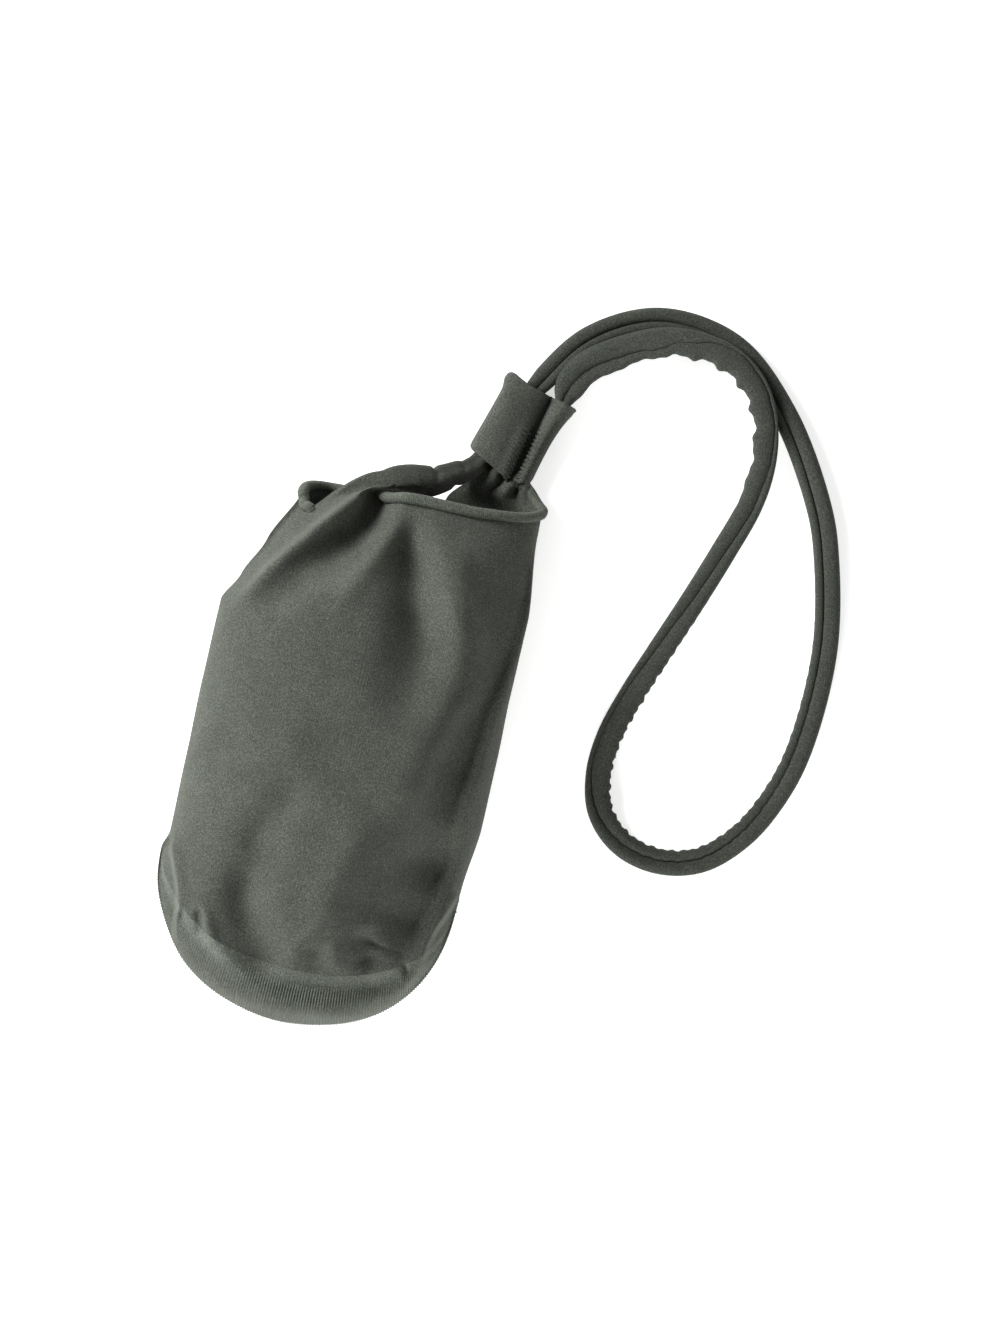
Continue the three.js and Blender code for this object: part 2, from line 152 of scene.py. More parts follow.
def write_map(bm, rows, across, along, closed):
    """Gives every face a map in metres: across the rows and along them."""
    layer = bm.loops.layers.uv.verify()
    place = {}
    for r, row in enumerate(rows):
        for c, vertex in enumerate(row):
            place[vertex] = (across[c], along[r])
    whole = across[-1] + (across[1] - across[0]) if closed else None
    for face in bm.faces:
        spots = [place.get(loop.vert) for loop in face.loops]
        if None in spots:
            continue
        wraps = closed and max(s[0] for s in spots) - min(s[0] for s in spots) > whole / 2
        for loop, (u, v) in zip(face.loops, spots):
            loop[layer].uv = (u + whole if wraps and u < whole / 2 else u, v)


def tube(name, rings, caps=True):
    """A closed tube through rings of points, with a map in metres."""
    rings = np.array(rings, float)
    bm = bmesh.new()
    row = bmesh.ops.create_circle(bm, cap_ends=False, radius=1, segments=rings.shape[1])["verts"]
    for vertex, place in zip(row, rings[0]):
        vertex.co = place
    rows = [row]
    for places in rings[1:]:
        row = next_row(bm, row, places, True)
        rows.append(row)
    around = np.linalg.norm(np.diff(rings[len(rings) // 2], axis=0), axis=1)
    across = np.concatenate([[0], np.cumsum(around)])
    steps = np.linalg.norm(np.diff(rings.mean(axis=1), axis=0), axis=1)
    write_map(bm, rows, across, np.concatenate([[0], np.cumsum(steps)]), True)
    if caps:
        for end in (rows[0], rows[-1]):
            edges = [bm.edges.get(pair) for pair in zip(end, end[1:] + end[:1])]
            bmesh.ops.holes_fill(bm, edges=edges, sides=0)
        bmesh.ops.recalc_face_normals(bm, faces=bm.faces)
    else:
        face_outward(bm, rings.mean(axis=(0, 1)))
    return finished(name, bm)


def face_outward(bm, middle):
    """Turns an open shell's faces away from its middle."""
    bmesh.ops.recalc_face_normals(bm, faces=bm.faces)
    away = sum(face.normal.dot(face.calc_center_median() - Vector(middle)) * face.calc_area() for face in bm.faces)
    if away < 0:
        bmesh.ops.reverse_faces(bm, faces=bm.faces)


def thicken(piece, thickness):
    """Gives a shell its thickness on the inside, and keeps its cut edges crisp."""
    wall_of = piece.modifiers.new("thickness", "SOLIDIFY")
    wall_of.thickness = thickness
    wall_of.offset = -1
    seen = piece.evaluated_get(bpy.context.evaluated_depsgraph_get())
    solid = bpy.data.meshes.new_from_object(seen)
    piece.modifiers.clear()
    piece.data = solid
    solid.set_sharp_from_angle(angle=math.radians(65))
    print(piece.name, "thickened to", len(solid.polygons), "faces")


def finished(name, bm):
    """Makes a smooth-shaded object of a bmesh."""
    mesh = bpy.data.meshes.new(name)
    bm.to_mesh(mesh)
    bm.free()
    mesh.shade_smooth()
    piece = bpy.data.objects.new(name, mesh)
    bpy.context.scene.collection.objects.link(piece)
    print(name, len(mesh.polygons), "faces")
    return piece


# %% [markdown]
# ## The strap
# The strap is a knitted band whose two long edges are rolled towards each other, so it shows two
# soft rolls with a groove between them. It is limp: it lies flat on the table in one open loop,
# and crosses over itself above the keeper. Where it bends, the inner edge puckers, because knit
# can't shorten. A tube with a grooved outline keeps it one length of cloth, and the outline's width,
# groove and puckers come from tables along its length.

# %% The strap's route, as the solids have it
body_length = 275 * mm
strap_width = 18 * mm
strap_thickness = 11 * mm
strap_rings = 560
strap_points_round = 44

strap_route = [
    (43.4, 34.0, 8.6), (52.8, 56.0, 8.6), (62.4, 78.0, 8.6), (71.4, 98.3, 8.2), (97.8, 137.6, 6.2),
    (143.0, 162.3, 6.0), (197.0, 157.0, 6.0), (244.0, 119.0, 6.0), (283.0, 62.0, 6.0),
    (296.5, 29.5, 6.0), (311.5, -35.0, 6.0), (311.0, -107.5, 6.0), (302.0, -144.5, 6.0),
    (286.0, -176.3, 6.0), (262.0, -199.8, 6.0), (233.8, -207.6, 6.0), (205.8, -201.8, 6.0),
    (186.0, -184.0, 6.0), (178.0, -158.6, 6.0), (179.0, -130.4, 6.0), (187.2, -98.6, 6.0),
    (199.8, -61.7, 6.0), (212.8, -24.5, 6.0), (225.6, 15.2, 6.2), (235.8, 50.5, 8.0),
    (238.2, 78.5, 11.0), (234.6, 103.6, 13.6), (225.4, 124.2, 14.4), (210.5, 139.5, 14.4),
    (191.0, 148.2, 14.4), (167.0, 149.6, 14.4), (140.5, 142.5, 14.4), (101.0, 115.0, 10.8),
    (91.6, 94.5, 8.8), (87.2, 78.0, 8.5), (83.1, 62.0, 8.5), (75.8, 29.5, 8.5), (74.3, 23.0, 8.5),
]
strap_places = np.array(strap_route) * mm + np.array([0, body_length, 0])
strap_line, strap_length = smooth_path(strap_places, strap_rings)
print("strap length", round(strap_length, 4), "m")

# %% How the strap's outline changes along it
strap_share = np.linspace(0, 1, strap_rings)
left_reach = table_value([
    (0, 0.68), (0.046, 0.72), (0.06, 0.95), (0.1, 1), (0.72, 1), (0.8, 1.02), (0.88, 0.98),
    (0.915, 1.12), (0.938, 1.05), (0.9425, 0.85), (0.95, 0.55), (1, 0.53),
], strap_share)
right_reach = table_value([
    (0, 0.68), (0.046, 0.72), (0.06, 0.95), (0.1, 1), (0.72, 1), (0.76, 0.95), (0.8, 0.88),
    (0.85, 1.1), (0.885, 1.32), (0.92, 1.44), (0.937, 1.48), (0.942, 1.15), (0.948, 0.55), (1, 0.53),
], strap_share)
groove_place = table_value([
    (0, 0.1), (0.2, 0.12), (0.3, 0.3), (0.42, 0.32), (0.5, 0.12), (0.54, 0), (0.59, -0.6),
    (0.63, -0.6), (0.67, -0.3), (0.7, -0.02), (0.76, 0.3), (0.8, 0.68), (0.84, 0.7),
    (0.885, -0.42), (0.915, -0.15), (0.94, 0), (1, 0),
], strap_share)
groove_depth = table_value([
    (0, 0.6), (0.6, 0.62), (0.82, 0.55), (0.85, 0.25), (0.875, 0.3), (0.9, 0.6), (0.94, 0.3), (1, 0.2),
], strap_share)
left_height = table_value([
    (0, 1), (0.5, 1), (0.56, 0.95), (0.6, 0.7), (0.66, 0.85), (0.75, 1), (0.86, 1), (0.89, 0.62),
    (0.925, 0.55), (0.95, 0.9), (1, 1),
], strap_share)
right_height = table_value([
    (0, 1), (0.25, 0.75), (0.46, 0.72), (0.52, 0.85), (0.6, 0.95), (0.7, 0.9), (0.78, 0.75),
    (0.84, 0.7), (0.88, 1), (1, 1),
], strap_share)

# %% Puckers on the inner edge of each bend
run = strap_share * strap_length
pucker = (
    0.55 * np.sin(run / (8.1 * mm) * 2 * math.pi / 1.0 + 1.3 * np.sin(run / (31 * mm)))
    + 0.3 * np.sin(run / (13.7 * mm) * 2 * math.pi + 0.8)
)
wide_pucker = 0.75 * np.sin(run / (27 * mm) * 2 * math.pi + 1.9 * np.sin(run / (34 * mm)))
wide_pucker += 0.35 * np.sin(run / (11.5 * mm) * 2 * math.pi + 1.5 * np.sin(run / (43 * mm)))
pucker_right = 1.25 * mm * pucker * table_value([
    (0.3, 0), (0.4, 0.3), (0.47, 0.6), (0.53, 0.8), (0.56, 1), (0.63, 1), (0.67, 0.4), (0.71, 0),
], strap_share)
pucker_left = 1.9 * mm * wide_pucker * table_value([
    (0.74, 0), (0.78, 0.7), (0.8, 1), (0.86, 1), (0.9, 0.5), (0.93, 0.15), (0.94, 0),
], strap_share)
print("largest pucker", round(float(abs(pucker_left).max() / mm), 2), "mm")


# %% Rings of the strap
quarter = strap_points_round // 4
opening = np.linspace(0, math.pi, quarter, endpoint=False)  # from a roll's free edge to the groove
closing = np.linspace(math.pi, 0, quarter, endpoint=False)


def roll(edge, groove, height, floor, angle):
    """One face of a roll: where its points lie across the strap, and how high they stand."""
    arch = np.sin(angle) ** 0.85
    arch = np.where(angle > math.pi / 2, floor[:, None] + (1 - floor[:, None]) * arch, arch)
    across = edge[:, None] + (groove - edge)[:, None] * (1 - np.cos(angle)) / 2
    return across, height[:, None] * arch


def strap_outlines():
    """Every ring's points as (across, up), from the left edge over the top and back below."""
    half = strap_thickness / 2
    left = -strap_width / 2 * left_reach - pucker_left
    right = strap_width / 2 * right_reach + pucker_right
    groove = left + (right - left) * (groove_place + 1) / 2
    top = 1 - groove_depth
    below = np.full(strap_rings, 0.7)
    quarters = [
        roll(left, groove, half * left_height, top, opening),
        roll(right, groove, half * right_height, top, closing),
        roll(right, groove, -half * np.ones(strap_rings), below, opening),
        roll(left, groove, -half * np.ones(strap_rings), below, closing),
    ]
    return np.hstack([q[0] for q in quarters]), np.hstack([q[1] for q in quarters])


across, upward = strap_outlines()
ahead = np.gradient(strap_line, axis=0)
ahead /= np.linalg.norm(ahead, axis=1)[:, None]
right_of = np.cross(ahead, (0, 0, 1))
right_of /= np.linalg.norm(right_of, axis=1)[:, None]
above = np.cross(right_of, ahead)
strap_rows = (
    strap_line[:, None]
    + across[:, :, None] * right_of[:, None]
    + upward[:, :, None] * above[:, None]
)
strap_rows[:, :, 2] = np.maximum(strap_rows[:, :, 2], 0.4 * mm)
strap = tube("strap", strap_rows)
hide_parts("strap_loop")

# %% [markdown]
# ## The knitted body
# The body is one tube of jersey, laid on its back wall: full and rounded over the belly, drawn in at
# the left shoulder where the front panel is gathered. The surface is worked out from the same
# sizes as the solids, and soft folds are laid on its front as ridges and valleys along lines read
# from the photograph. That keeps every fold where the eye expects it, which a free simulation of
# limp knit doesn't.

# %% Driving sizes of the body
body_radius = 105 * mm
base_depth = -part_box("base_panel")[0][1]
body_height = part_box("body_wall")[1][2]
wall_thickness = 2.4 * mm
spine_share = 0.42
sag_share = 0.52
square_share = 0.86
dome_share = 0.89
lift_share = 0.3
print("body", round(body_height / mm, 1), "mm high, base", round(base_depth / mm, 1), "mm deep")

left_side = [
    (0, 0.965), (0.233, 0.985), (0.415, 1.005), (0.63, 1.018), (0.7, 0.93), (0.8, 0.825),
    (0.942, 0.675), (1.04, 0.59),
]
right_side = [
    (0, 0.985), (0.073, 0.99), (0.215, 1.022), (0.4, 1.012), (0.553, 0.995), (0.762, 0.988),
    (0.965, 0.915), (1.04, 0.905),
]
heights = [(0, 1), (0.25, 1), (0.5, 0.93), (0.7, 0.82), (0.85, 0.66), (1, 0.52), (1.04, 0.47)]
rim_reach = [
    (0, 1.024), (45, 0.994), (70, 0.981), (90, 0.979), (104, 0.97), (114, 0.966), (124, 0.955), (138, 0.925),
    (149, 0.89), (165, 0.92),
    (180, 0.94), (200, 0.955), (222, 0.962), (245, 0.97), (270, 0.995), (300, 1.018), (325, 1.022),
    (360, 1.024),
]
seam_front, seam_side, seam_back = 0.62, 1.035, 1.27


# %% The smooth surface of the body
def body_places(way, turn, inset=0.0):
    """Points on the body: way from the base's pole (0) past its widest ring (1) to the rim (2)."""
    way, turn = np.broadcast_arrays(np.asarray(way, float), np.asarray(turn, float) % 360)
    angle = np.radians(turn)
    dome = np.minimum(way, 1) * math.pi / 2
    ring = np.sin(dome) ** dome_share
    base_y = -(base_depth - inset) * np.maximum(np.cos(dome), 0) ** dome_share
    y = np.where(way < 1, base_y, (way - 1) * body_length * table_value(rim_reach, turn))
    left = body_radius * table_value(left_side, y / body_length)
    right = body_radius * table_value(right_side, y / body_length)
    height = body_height * table_value(heights, y / body_length)
    flat = np.sign(np.cos(angle)) * np.abs(np.cos(angle)) ** square_share
    tall = np.sign(np.sin(angle)) * np.abs(np.sin(angle)) ** square_share
    side = (left + right) / 2 - inset
    rise = height * np.where(tall > 0, 1 - spine_share, sag_share) - inset
    x = (right - left) / 2 + side * flat * ring
    z = height * spine_share + rise * tall * np.sin(dome) ** lift_share
    return np.stack([x, y, np.maximum(z, inset)], axis=-1)


def body_spot(x, y, front):
    """The way and turn of the point of the body that lies at x, y, on its front or on its back."""
    left = body_radius * table_value(left_side, y / body_length)
    right = body_radius * table_value(right_side, y / body_length)
    dome = np.arccos(np.clip(-y / base_depth, 0, 1) ** (1 / dome_share))
    ring = np.where(y < 0, np.sin(dome) ** dome_share, 1)
    across = (x - (right - left) / 2) / ((left + right) / 2 * ring + 1e-9)
    flat = np.sign(across) * np.minimum(np.abs(across), 1) ** (1 / square_share)
    turn = np.degrees(np.arccos(flat))
    turn = np.where(front, turn, 360 - turn)
    way = np.where(y < 0, dome / (math.pi / 2), 1 + y / (body_length * table_value(rim_reach, turn)))
    return way, turn


def seam_way(turn):
    """Where the base's seam runs: low on the front, high on the back."""
    upward = np.sin(np.radians(turn))
    return seam_side + (np.where(upward > 0, seam_front, seam_back) - seam_side) * np.abs(upward)


# %% [markdown]
# ### Folds
# Each fold is a line on the front of the bag with a height, negative for a valley, and a width on
# each side. A fold that is narrow on one side has a steep flank there, as where cloth turns over.

# %% The folds, in millimetres from the middle of the base
folds = [
    # line along the fold; then from its start to its end: heights, widths to its left, widths to its right
    ([(-28, 267), (-47, 244), (-60, 226), (-74, 207), (-84, 189), (-91, 174), (-97, 158)], (6, 8, 7, 4, 0), (7, 7), (6, 6)),
    ([(-18, 277), (-17, 258), (-23, 237), (-37, 217), (-50, 204), (-64, 187), (-77, 168)], (-21, -21, -18, -15, -12, -7, 0), (10, 12, 11), (12, 14, 12)),
    ([(10, 266), (-3, 240), (-13, 220), (-20, 198), (-28, 172)], (0, 4, 5, 3, 0), (8, 10), (8, 8)),
    ([(4, 268), (9, 251), (16, 230), (23, 209), (31, 188), (37, 166), (37, 144), (32, 113)], (0, -11, -17, -18, -16, -10, 0), (10, 14, 19, 19), (10, 17, 23, 22)),
    ([(24, 264), (38, 233), (50, 209), (62, 185), (70, 158)], (0, 2, 3, 2, 0), (12, 14, 14), (8, 8)),
    ([(96, 266), (96, 238), (94, 194), (91, 164), (85, 138), (84, 113), (81, 85), (80, 58), (79, 34), (78, 8)], (0, -9, -13, -12, -10, -11, -12, -12, -10, 0), (8, 9, 12, 14), (22, 26, 15, 20, 24)),
    ([(46, 252), (52, 226), (63, 200), (74, 175), (78, 156), (68, 133), (60, 107), (56, 80), (48, 52)], (0, 4, 6, 5, 3, 4, 5, 4, 0), (8, 9), (18, 20)),
    ([(102, 201), (101, 166), (98, 132), (95, 93), (91, 61), (87, 38)], (0, 3, 4, 5, 3, 0), (6, 6), (7, 7)),
    ([(85, 62), (82, 20), (76, -14), (68, -46)], (0, -14, -18, 0), (10, 11), (22, 32, 28)),
    ([(27, 60), (26, 42), (24, 20), (19, -6), (18, -38)], (0, 4, 6, 5, 0), (13, 13), (16, 16)),
    ([(-14, 74), (-24, 50), (-36, 30), (-50, 12)], (0, -5, -6, 0), (9, 9), (13, 14)),
    ([(-26, 30), (-34, 5), (-37, -15), (-31, -33), (-17, -50), (2, -64)], (0, -9, -15, -15, -10, 0), (15, 13), (15, 16, 14)),
    ([(-66, -24), (-65, -33), (-58, -45), (-50, -55), (-36, -64), (-16, -71), (10, -73)], (0, 6, 6, 4, 0), (5, 7), (5, 5)),
    ([(-44, -60), (2, -69), (39, -65), (66, -55), (86, -37)], (0, -8, -9, -8, 0), (13, 15), (8, 8)),
    ([(16, -36), (20, -62)], (0, -4, -4, 0), (7, 8), (7, 8)),
    ([(25, -30), (38, -58)], (0, 2, 2, 0), (5, 5), (5, 5)),
    ([(45, -18), (57, -52)], (0, -8, -9, 0), (9, 10), (10, 10)),
    ([(22, -20), (7, -40), (-5, -58)], (0, 3, 3, 0), (5, 5), (5, 5)),
    ([(75, -34), (82, -48)], (0, -4, 0), (2.5, 2.5), (2.5, 2.5)),
    ([(42, -26), (65, -32), (86, -34)], (0, -1.8, -1.8, 0), (2, 2), (2, 2)),
    ([(-67, -33), (-60, -52)], (0, -7, -6, 0), (3, 3.5), (3, 3.5)),
    ([(-79, -36), (-75, -50)], (0, -5, 0), (2.5, 2.5), (2.5, 2.5)),
    ([(-70, 120), (-78, 84), (-74, 40)], (0, -2.5, 0), (14, 16), (12, 14)),
    ([(-20, 130), (-34, 92), (-40, 60)], (0, 2.5, 0), (14, 16), (14, 16)),
]
ridge_line = [(-98, 156), (-91, 174), (-84, 189), (-74, 207), (-60, 226), (-47, 244), (-28, 267)]
hem = [
    (-97, 9), (-92, -3), (-84.5, -22), (-80.5, -35.5), (-78.5, -52), (-74, -65.5), (-63, -75),
    (-52, -79.5), (-38, -83.5), (-16, -85.5), (3, -86), (28, -84), (50, -82), (63, -77), (73, -69),
    (83, -54), (89, -40), (89.5, -25), (92, -12), (97, 0), (100, 9), (102, 16),
]


def beside(points, places):
    """Distance from a line (positive to its left), and the way along it, for every place."""
    line, length = smooth_path(np.array(points) * mm, 40)
    start, step = line[:-1], np.diff(line, axis=0)
    away = places[..., None, :2] - start
    along = np.clip((away * step).sum(-1) / (step**2).sum(-1), 0, 1)
    gap = away - along[..., None] * step
    distance = np.linalg.norm(gap, axis=-1)
    near = distance.argmin(axis=-1)[..., None]
    sign = np.sign(step[:, 0] * gap[..., 1] - step[:, 1] * gap[..., 0])
    pick = [np.take_along_axis(a, near, -1)[..., 0] for a in (distance * sign, along)]
    return pick[0], (near[..., 0] + pick[1]) / (len(line) - 1) * length, length


def fold_rise(places):
    """How far the folds lift or sink the front at every place."""
    rise = np.zeros(places.shape[:-1])
    for points, tall, left_widths, right_widths in folds:
        distance, along, length = beside(points, places)
        share = along / length
        height, left_width, right_width = (
            table_value(list(zip(np.linspace(0, 1, len(values)), values)), share) * mm
            for values in (tall, left_widths, right_widths)
        )
        width = np.where(distance > 0, left_width, right_width)
        rise += height * np.exp(-((distance / width) ** 2))
    return rise


def hem_drop(places):
    """The front overhangs the base: beyond the hem line it sinks, softly in the middle, with a lip at the sides."""
    distance, along, length = beside(hem, places)
    outside = np.where(distance < 0, -distance, 0)
    inside = np.where(distance >= 0, distance, 0)
    ends = ease(along, 0, 7 * mm) * ease(length - along, 0, 7 * mm)
    soft = ease(along / length, 0.14, 0.3) * (1 - ease(along / length, 0.7, 0.82))
    lip = (2.6 - 2.2 * soft) * mm * np.exp(-((inside / (5 * mm)) ** 2)) * np.exp(-((outside / (1.5 * mm)) ** 2))
    drop = 11 * mm * ease(outside, 0, (4.5 + 6.5 * soft) * mm)
    return ends * (lip - drop)


def shoulder_drop(places):
    """Left of the front panel's ridge the side wall lies lower, down to the left opening."""
    distance, along, length = beside(ridge_line, places)
    return -12 * mm * ease(along, 0, 70 * mm) * ease(distance, 0, 6 * mm)


def cloth_places(way, turn):
    """The outer face of the cloth: the smooth surface with its folds."""
    places = body_places(way, turn)
    spine = body_height * table_value(heights, places[..., 1] / body_length) * spine_share
    front = ease(places[..., 2] - spine, 2 * mm, 20 * mm)
    places[..., 2] += front * (fold_rise(places) + hem_drop(places) + shoulder_drop(places))
    places[..., 2] = np.maximum(places[..., 2], 0.3 * mm)
    bulge = 3 * mm * (1 - ease(places[..., 1], -4 * mm, 8 * mm)) * ease(places[..., 1], -70 * mm, -20 * mm)
    places[..., 0] -= bulge * ease(-places[..., 0], 80 * mm, 100 * mm)
    return places


# %% [markdown]
# ### The wall and its two gathered panels
# The wall is a ring of cloth from the base's seam to the rim. Beyond the rim, part of the front
# panel runs on and rolls up into the first strand of the strap, and part of the back panel runs on
# in soft pleats into the second. Extruding those parts of the rim keeps wall and strand one cloth,
# as they are on the real bag, so the gathers flow over the shoulder without a joint.

# %% Rows of the wall
wall_columns = 300
wall_rows = 124
column_turn = np.arange(wall_columns) * 360 / wall_columns

wall_share = np.linspace(0, 1, wall_rows)[:, None]
wall_way = seam_way(column_turn) + wall_share * (2 - seam_way(column_turn))
wall_places = cloth_places(wall_way, column_turn[None, :])

# %% The front panel rolls into a strand
front_from, front_to = 105, 146  # degrees round the rim
front_columns = np.where((column_turn >= front_from) & (column_turn <= front_to))[0]
front_middle, _ = smooth_path(
    np.array([
        (-33, 262, 53), (-19, 275, 50), (-3, 282.5, 43), (15, 287.3, 33), (30.3, 296.8, 21), (41.2, 305.7, 12), (47, 316, 9),
    ]) * mm, 64,
)
strand_share = np.linspace(0, 1, len(front_middle))
strand_half = table_value([(0, 17), (0.2, 13.5), (0.45, 11.7), (0.7, 9.2), (0.88, 7.2), (1, 6.8)], strand_share) * mm
strand_thick = table_value([(0, 9), (0.3, 9), (0.6, 9.5), (0.85, 6.5), (1, 6.2)], strand_share) * mm

front_ahead = np.gradient(front_middle, axis=0)
front_ahead /= np.linalg.norm(front_ahead, axis=1)[:, None]
front_right = np.cross(front_ahead, (0, 0, 1))
front_right /= np.linalg.norm(front_right, axis=1)[:, None]
front_above = np.cross(front_right, front_ahead)

rim_share = np.linspace(0, 1, len(front_columns))
around = np.radians(-72 + (245 + 72) * rim_share)  # from under the right, over the top, to under the left
strand_creases = [(0.2, 0.05, 0.1), (0.36, 0.07, 0.13), (0.53, -0.05, 0.16), (0.63, 0.06, 0.13), (0.76, -0.05, 0.1)]  # place, lean, depth
rolled = []
for k, share in enumerate(strand_share):
    twist = around + 0.9 * share
    crease = 1 + 0.07 * np.sin(3 * twist + 1.2 + 2 * share) + 0.04 * np.sin(5 * twist - 3 * share)
    for place, lean, depth in strand_creases:
        crease -= depth * np.exp(-(((share - place - lean * np.cos(around)) / 0.024) ** 2))
    crease -= 0.34 * np.exp(-(((around - 0.7) / 0.3) ** 2)) * ease(share, 0.05, 0.2) * (1 - ease(share, 0.7, 0.9))
    section = (
        front_middle[k]
        + (strand_half[k] * crease * np.cos(around))[:, None] * front_right[k]
        + (strand_thick[k] * crease * np.sin(around))[:, None] * front_above[k]
    )
    rolled.append(section)
rolled = np.array(rolled)
front_rim = wall_places[-1, front_columns]
front_slope = front_rim - wall_places[-4, front_columns]
front_slope /= np.linalg.norm(front_slope, axis=1)[:, None]
reach = strand_share[:, None, None] * 60 * mm
join = ease(strand_share, 0, 0.42)[:, None, None]
front_rows = (1 - join) * (front_rim + reach * front_slope) + join * rolled
print("front strand", len(front_columns), "columns,", len(front_rows), "rows")

# %% The back panel runs into pleats
back_from, back_to = 276, 349
back_columns = np.where((column_turn >= back_from) & (column_turn <= back_to))[0]
back_share = np.linspace(0, 1, 34)
back_middle, _ = smooth_path(np.array([(57, 281, 4), (62, 291, 7), (68, 300, 9), (74, 308, 9)]) * mm, 34)
back_half = table_value([(0, 34), (0.3, 24), (0.6, 15), (0.85, 6.2), (1, 5)], back_share) * mm
back_left_half = table_value([(0, 34), (0.3, 24), (0.6, 19), (0.8, 21.5), (1, 22)], back_share) * mm
back_tall = table_value([(0, 0.6), (0.4, 2.6), (0.7, 3.6), (1, 3.4)], back_share) * mm
spread = np.linspace(-1, 1, len(back_columns))
left_part = np.maximum(-spread, 0)
back_rim = wall_places[-1, back_columns]
pleated = []
for k in range(len(back_share)):
    pleats = np.sin(spread * 5.2 * math.pi / 2 + 0.4) * back_tall[k]
    edge_lift = 3.5 * mm * np.abs(spread) ** 3 * (1 - back_share[k])
    pleated.append(np.stack([
        back_middle[k, 0] + np.where(spread < 0, back_left_half[k], back_half[k]) * spread,
        back_middle[k, 1] + 4 * mm * spread**2 * (1 - back_share[k]) + 6 * mm * left_part * back_share[k] ** 2,
        back_middle[k, 2] + pleats + edge_lift - 4.5 * mm * left_part * back_share[k],
    ], axis=1))
join = ease(back_share, 0, 0.4)[:, None, None]
back_rows = (1 - join) * (back_rim + back_share[:, None, None] * np.array([0, 26 * mm, 0])) + join * np.array(pleated)
back_rows[..., 2] = np.maximum(back_rows[..., 2], 0.3 * mm)

# %% Make the wall, and mark where it is gathered, for the painted shade of its colour
bm = bmesh.new()
painted_shade_layer = bm.verts.layers.float.new("gathered_painted_shade")
row = bmesh.ops.create_circle(bm, cap_ends=False, radius=1, segments=wall_columns)["verts"]
for vertex, place in zip(row, wall_places[0]):
    vertex.co = place
rows = [row]
for places in wall_places[1:]:
    row = next_row(bm, row, places, True)
    rows.append(row)
across_wall = np.arange(wall_columns) * 2 * math.pi * body_radius / wall_columns
along_wall = wall_share[:, 0] * body_length * 1.15
write_map(bm, rows, across_wall, along_wall, True)
# painted shade: the gathered strands get a value that darkens their colour, full on the front strand and weaker on the
# back pleats
for columns, extension, painted_shade_depth in ((front_columns, front_rows, 1.0), (back_columns, back_rows, 0.4)):
    strip = [rows[-1][c] for c in columns]
    strips = [strip]
    for share, places in zip(np.linspace(0, 1, len(extension))[1:], extension[1:]):
        strip = next_row(bm, strip, places, False)
        for vertex in strip:
            vertex[painted_shade_layer] = painted_shade_depth * ease(share, 0.08, 0.4)
        strips.append(strip)
    run = along_wall[-1] + np.linspace(0, 60 * mm, len(strips))
    write_map(bm, strips, across_wall[columns], run, False)
face_outward(bm, (0, 0.1, 0.05))
wall = finished("knitted_wall", bm)
thicken(wall, wall_thickness)
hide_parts("body_wall", "front_strap_root", "back_strap_root")

# %% [markdown]
# ## The ribbed base
# The round end of the tube is knitted as a fine rib. Its ribs run from the front over the outline to
# the back, square to the outline, and fade into plain jersey before the seam. The base is a grid of
# cloth whose columns follow the ribs, three columns to a rib with one of them raised, so the ribs
# are real ridges. The real ones are 1.6 mm apart; 2 mm lets them show from above.

# %% Curves that the ribs run between
rib_pitch = 2.0 * mm
rib_height = 0.5 * mm
half_turn = np.linspace(0, 180, 241)
outline_way = np.concatenate([np.linspace(seam_side, 0, 161), np.linspace(0, seam_side, 161)[1:]])
outline_turn = np.where(np.arange(321) <= 160, 180.0, 0.0)
base_outline, outline_length = smooth_path(body_places(outline_way, outline_turn), 2000)
rib_count = round(outline_length / rib_pitch)
base_columns = 3 * rib_count + 1
print(rib_count, "ribs along an outline of", round(outline_length / mm), "mm")


def along_curve(points):
    """One point for each column of the base, evenly along a curve from its left to its right end."""
    fine, _ = smooth_path(points, 2000)
    spots = np.linspace(0.002, 0.998, base_columns) * 1999
    return np.stack([np.interp(spots, np.arange(2000), fine[:, k]) for k in range(2)], axis=1)


outline_ends = along_curve(base_outline)
front_ends = along_curve(body_places(seam_way(180 - half_turn), 180 - half_turn))
back_ends = along_curve(body_places(seam_way(180 + half_turn), 180 + half_turn))

# %% Rows of the base, evenly spaced from the front seam over the outline to the back seam
base_rows = 66
reach_share = np.linspace(1, 0, 150) ** 2.5  # from a seam to the outline, close together near the outline
base_reach = np.concatenate([-reach_share, reach_share[-2::-1]])


def base_spot(reach):
    """Way and turn of points between the front seam (-1), the outline (0) and the back seam (1)."""
    front = reach <= 0
    seam_end = np.where(front[..., None], front_ends, back_ends)
    spot = outline_ends + (seam_end - outline_ends) * np.abs(reach)[..., None]
    return body_spot(spot[..., 0], spot[..., 1], front)


fine_rows = body_places(*base_spot(np.repeat(base_reach[:, None], base_columns, axis=1)))
steps = np.linalg.norm(np.diff(fine_rows, axis=0), axis=2)
fine_run = np.vstack([np.zeros(base_columns), np.cumsum(steps, axis=0)])
even_reach = np.stack([
    np.interp(np.linspace(0, fine_run[-1, c], base_rows), fine_run[:, c], base_reach)
    for c in range(base_columns)
], axis=1)
base_places = cloth_places(*base_spot(even_reach))
rib_strength = ease(even_reach, -0.98, -0.55) * (1 - ease(even_reach, 0.6, 0.95))
across_step = np.gradient(base_places, axis=1)
outward = np.cross(np.gradient(base_places, axis=0), across_step)
outward /= np.linalg.norm(outward, axis=2)[:, :, None] + 1e-9
outward *= np.sign(outward[base_rows // 4, base_columns // 2, 2])
ridge = np.where(np.arange(base_columns) % 3 == 0, 1, -0.5)
base_places += outward * (rib_height * rib_strength * ridge)[:, :, None]
